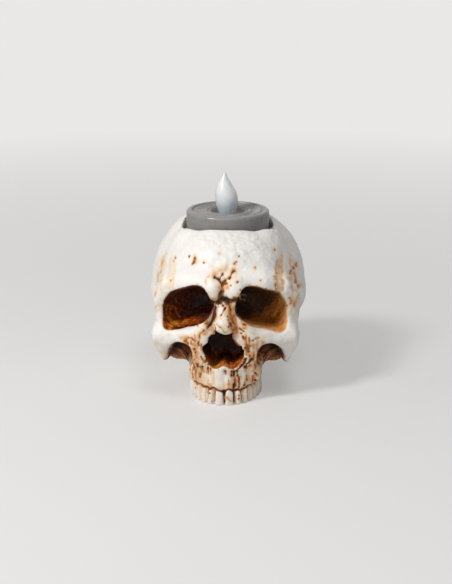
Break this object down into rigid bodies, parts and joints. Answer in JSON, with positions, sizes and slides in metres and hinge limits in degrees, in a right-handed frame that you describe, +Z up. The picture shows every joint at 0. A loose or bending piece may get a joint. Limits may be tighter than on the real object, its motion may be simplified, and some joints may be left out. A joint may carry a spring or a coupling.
{
  "type": "skull candle holder",
  "caption": "Tabletop holder cast in the shape of a small human skull, with a round seat in its crown for an electric tea light that lifts out.",
  "frame": {"origin": "on the table, under the middle of the holder's width and length", "axes": "+Z up, the face looks along -Y, +X to the right of someone who looks at the face"},
  "size_m": [0.073, 0.0925, 0.0963],
  "materials": {
    "painted_resin": "off-white paint over cast resin, with a brown wash in the hollows",
    "black_felt": "felt",
    "grey_plastic": "satin",
    "milky_plastic": "translucent",
    "clear_epoxy": "clear",
    "black_plastic": "satin",
    "tinned_steel": "plated",
    "spring_brass": "rolled"
  },
  "bodies": {
    "holder": {"skull_casting": "painted_resin", "felt_pad_left": "black_felt", "felt_pad_right": "black_felt"},
    "tea_light": {"light_housing": "grey_plastic", "flame": "milky_plastic", "lamp": "clear_epoxy", "lamp_lead_negative": "tinned_steel", "lamp_lead_positive": "tinned_steel", "battery_core": "black_plastic", "contact_negative": "tinned_steel", "contact_positive": "tinned_steel", "contact_switch": "tinned_steel", "coin_cell": "tinned_steel", "base_plate": "grey_plastic", "base_screw_left": "tinned_steel", "base_screw_right": "tinned_steel"},
    "battery_door": {"battery_door": "grey_plastic"},
    "switch": {"switch_slider": "black_plastic", "switch_wiper": "spring_brass"}
  },
  "joints": [
    {"name": "light_lift", "type": "slide", "parent": "holder", "child": "tea_light", "axis": [0, 0, 1], "range_m": [0, 0.03]},
    {"name": "battery_door_turn", "type": "hinge", "parent": "tea_light", "child": "battery_door", "pos_m": [0, -0.0001, 0.061], "axis": [0, 0, 1], "range_deg": [0, 35]},
    {"name": "switch_slide", "type": "slide", "parent": "tea_light", "child": "switch", "axis": [1, 0, 0], "range_m": [0, 0.0025]}
  ]
}
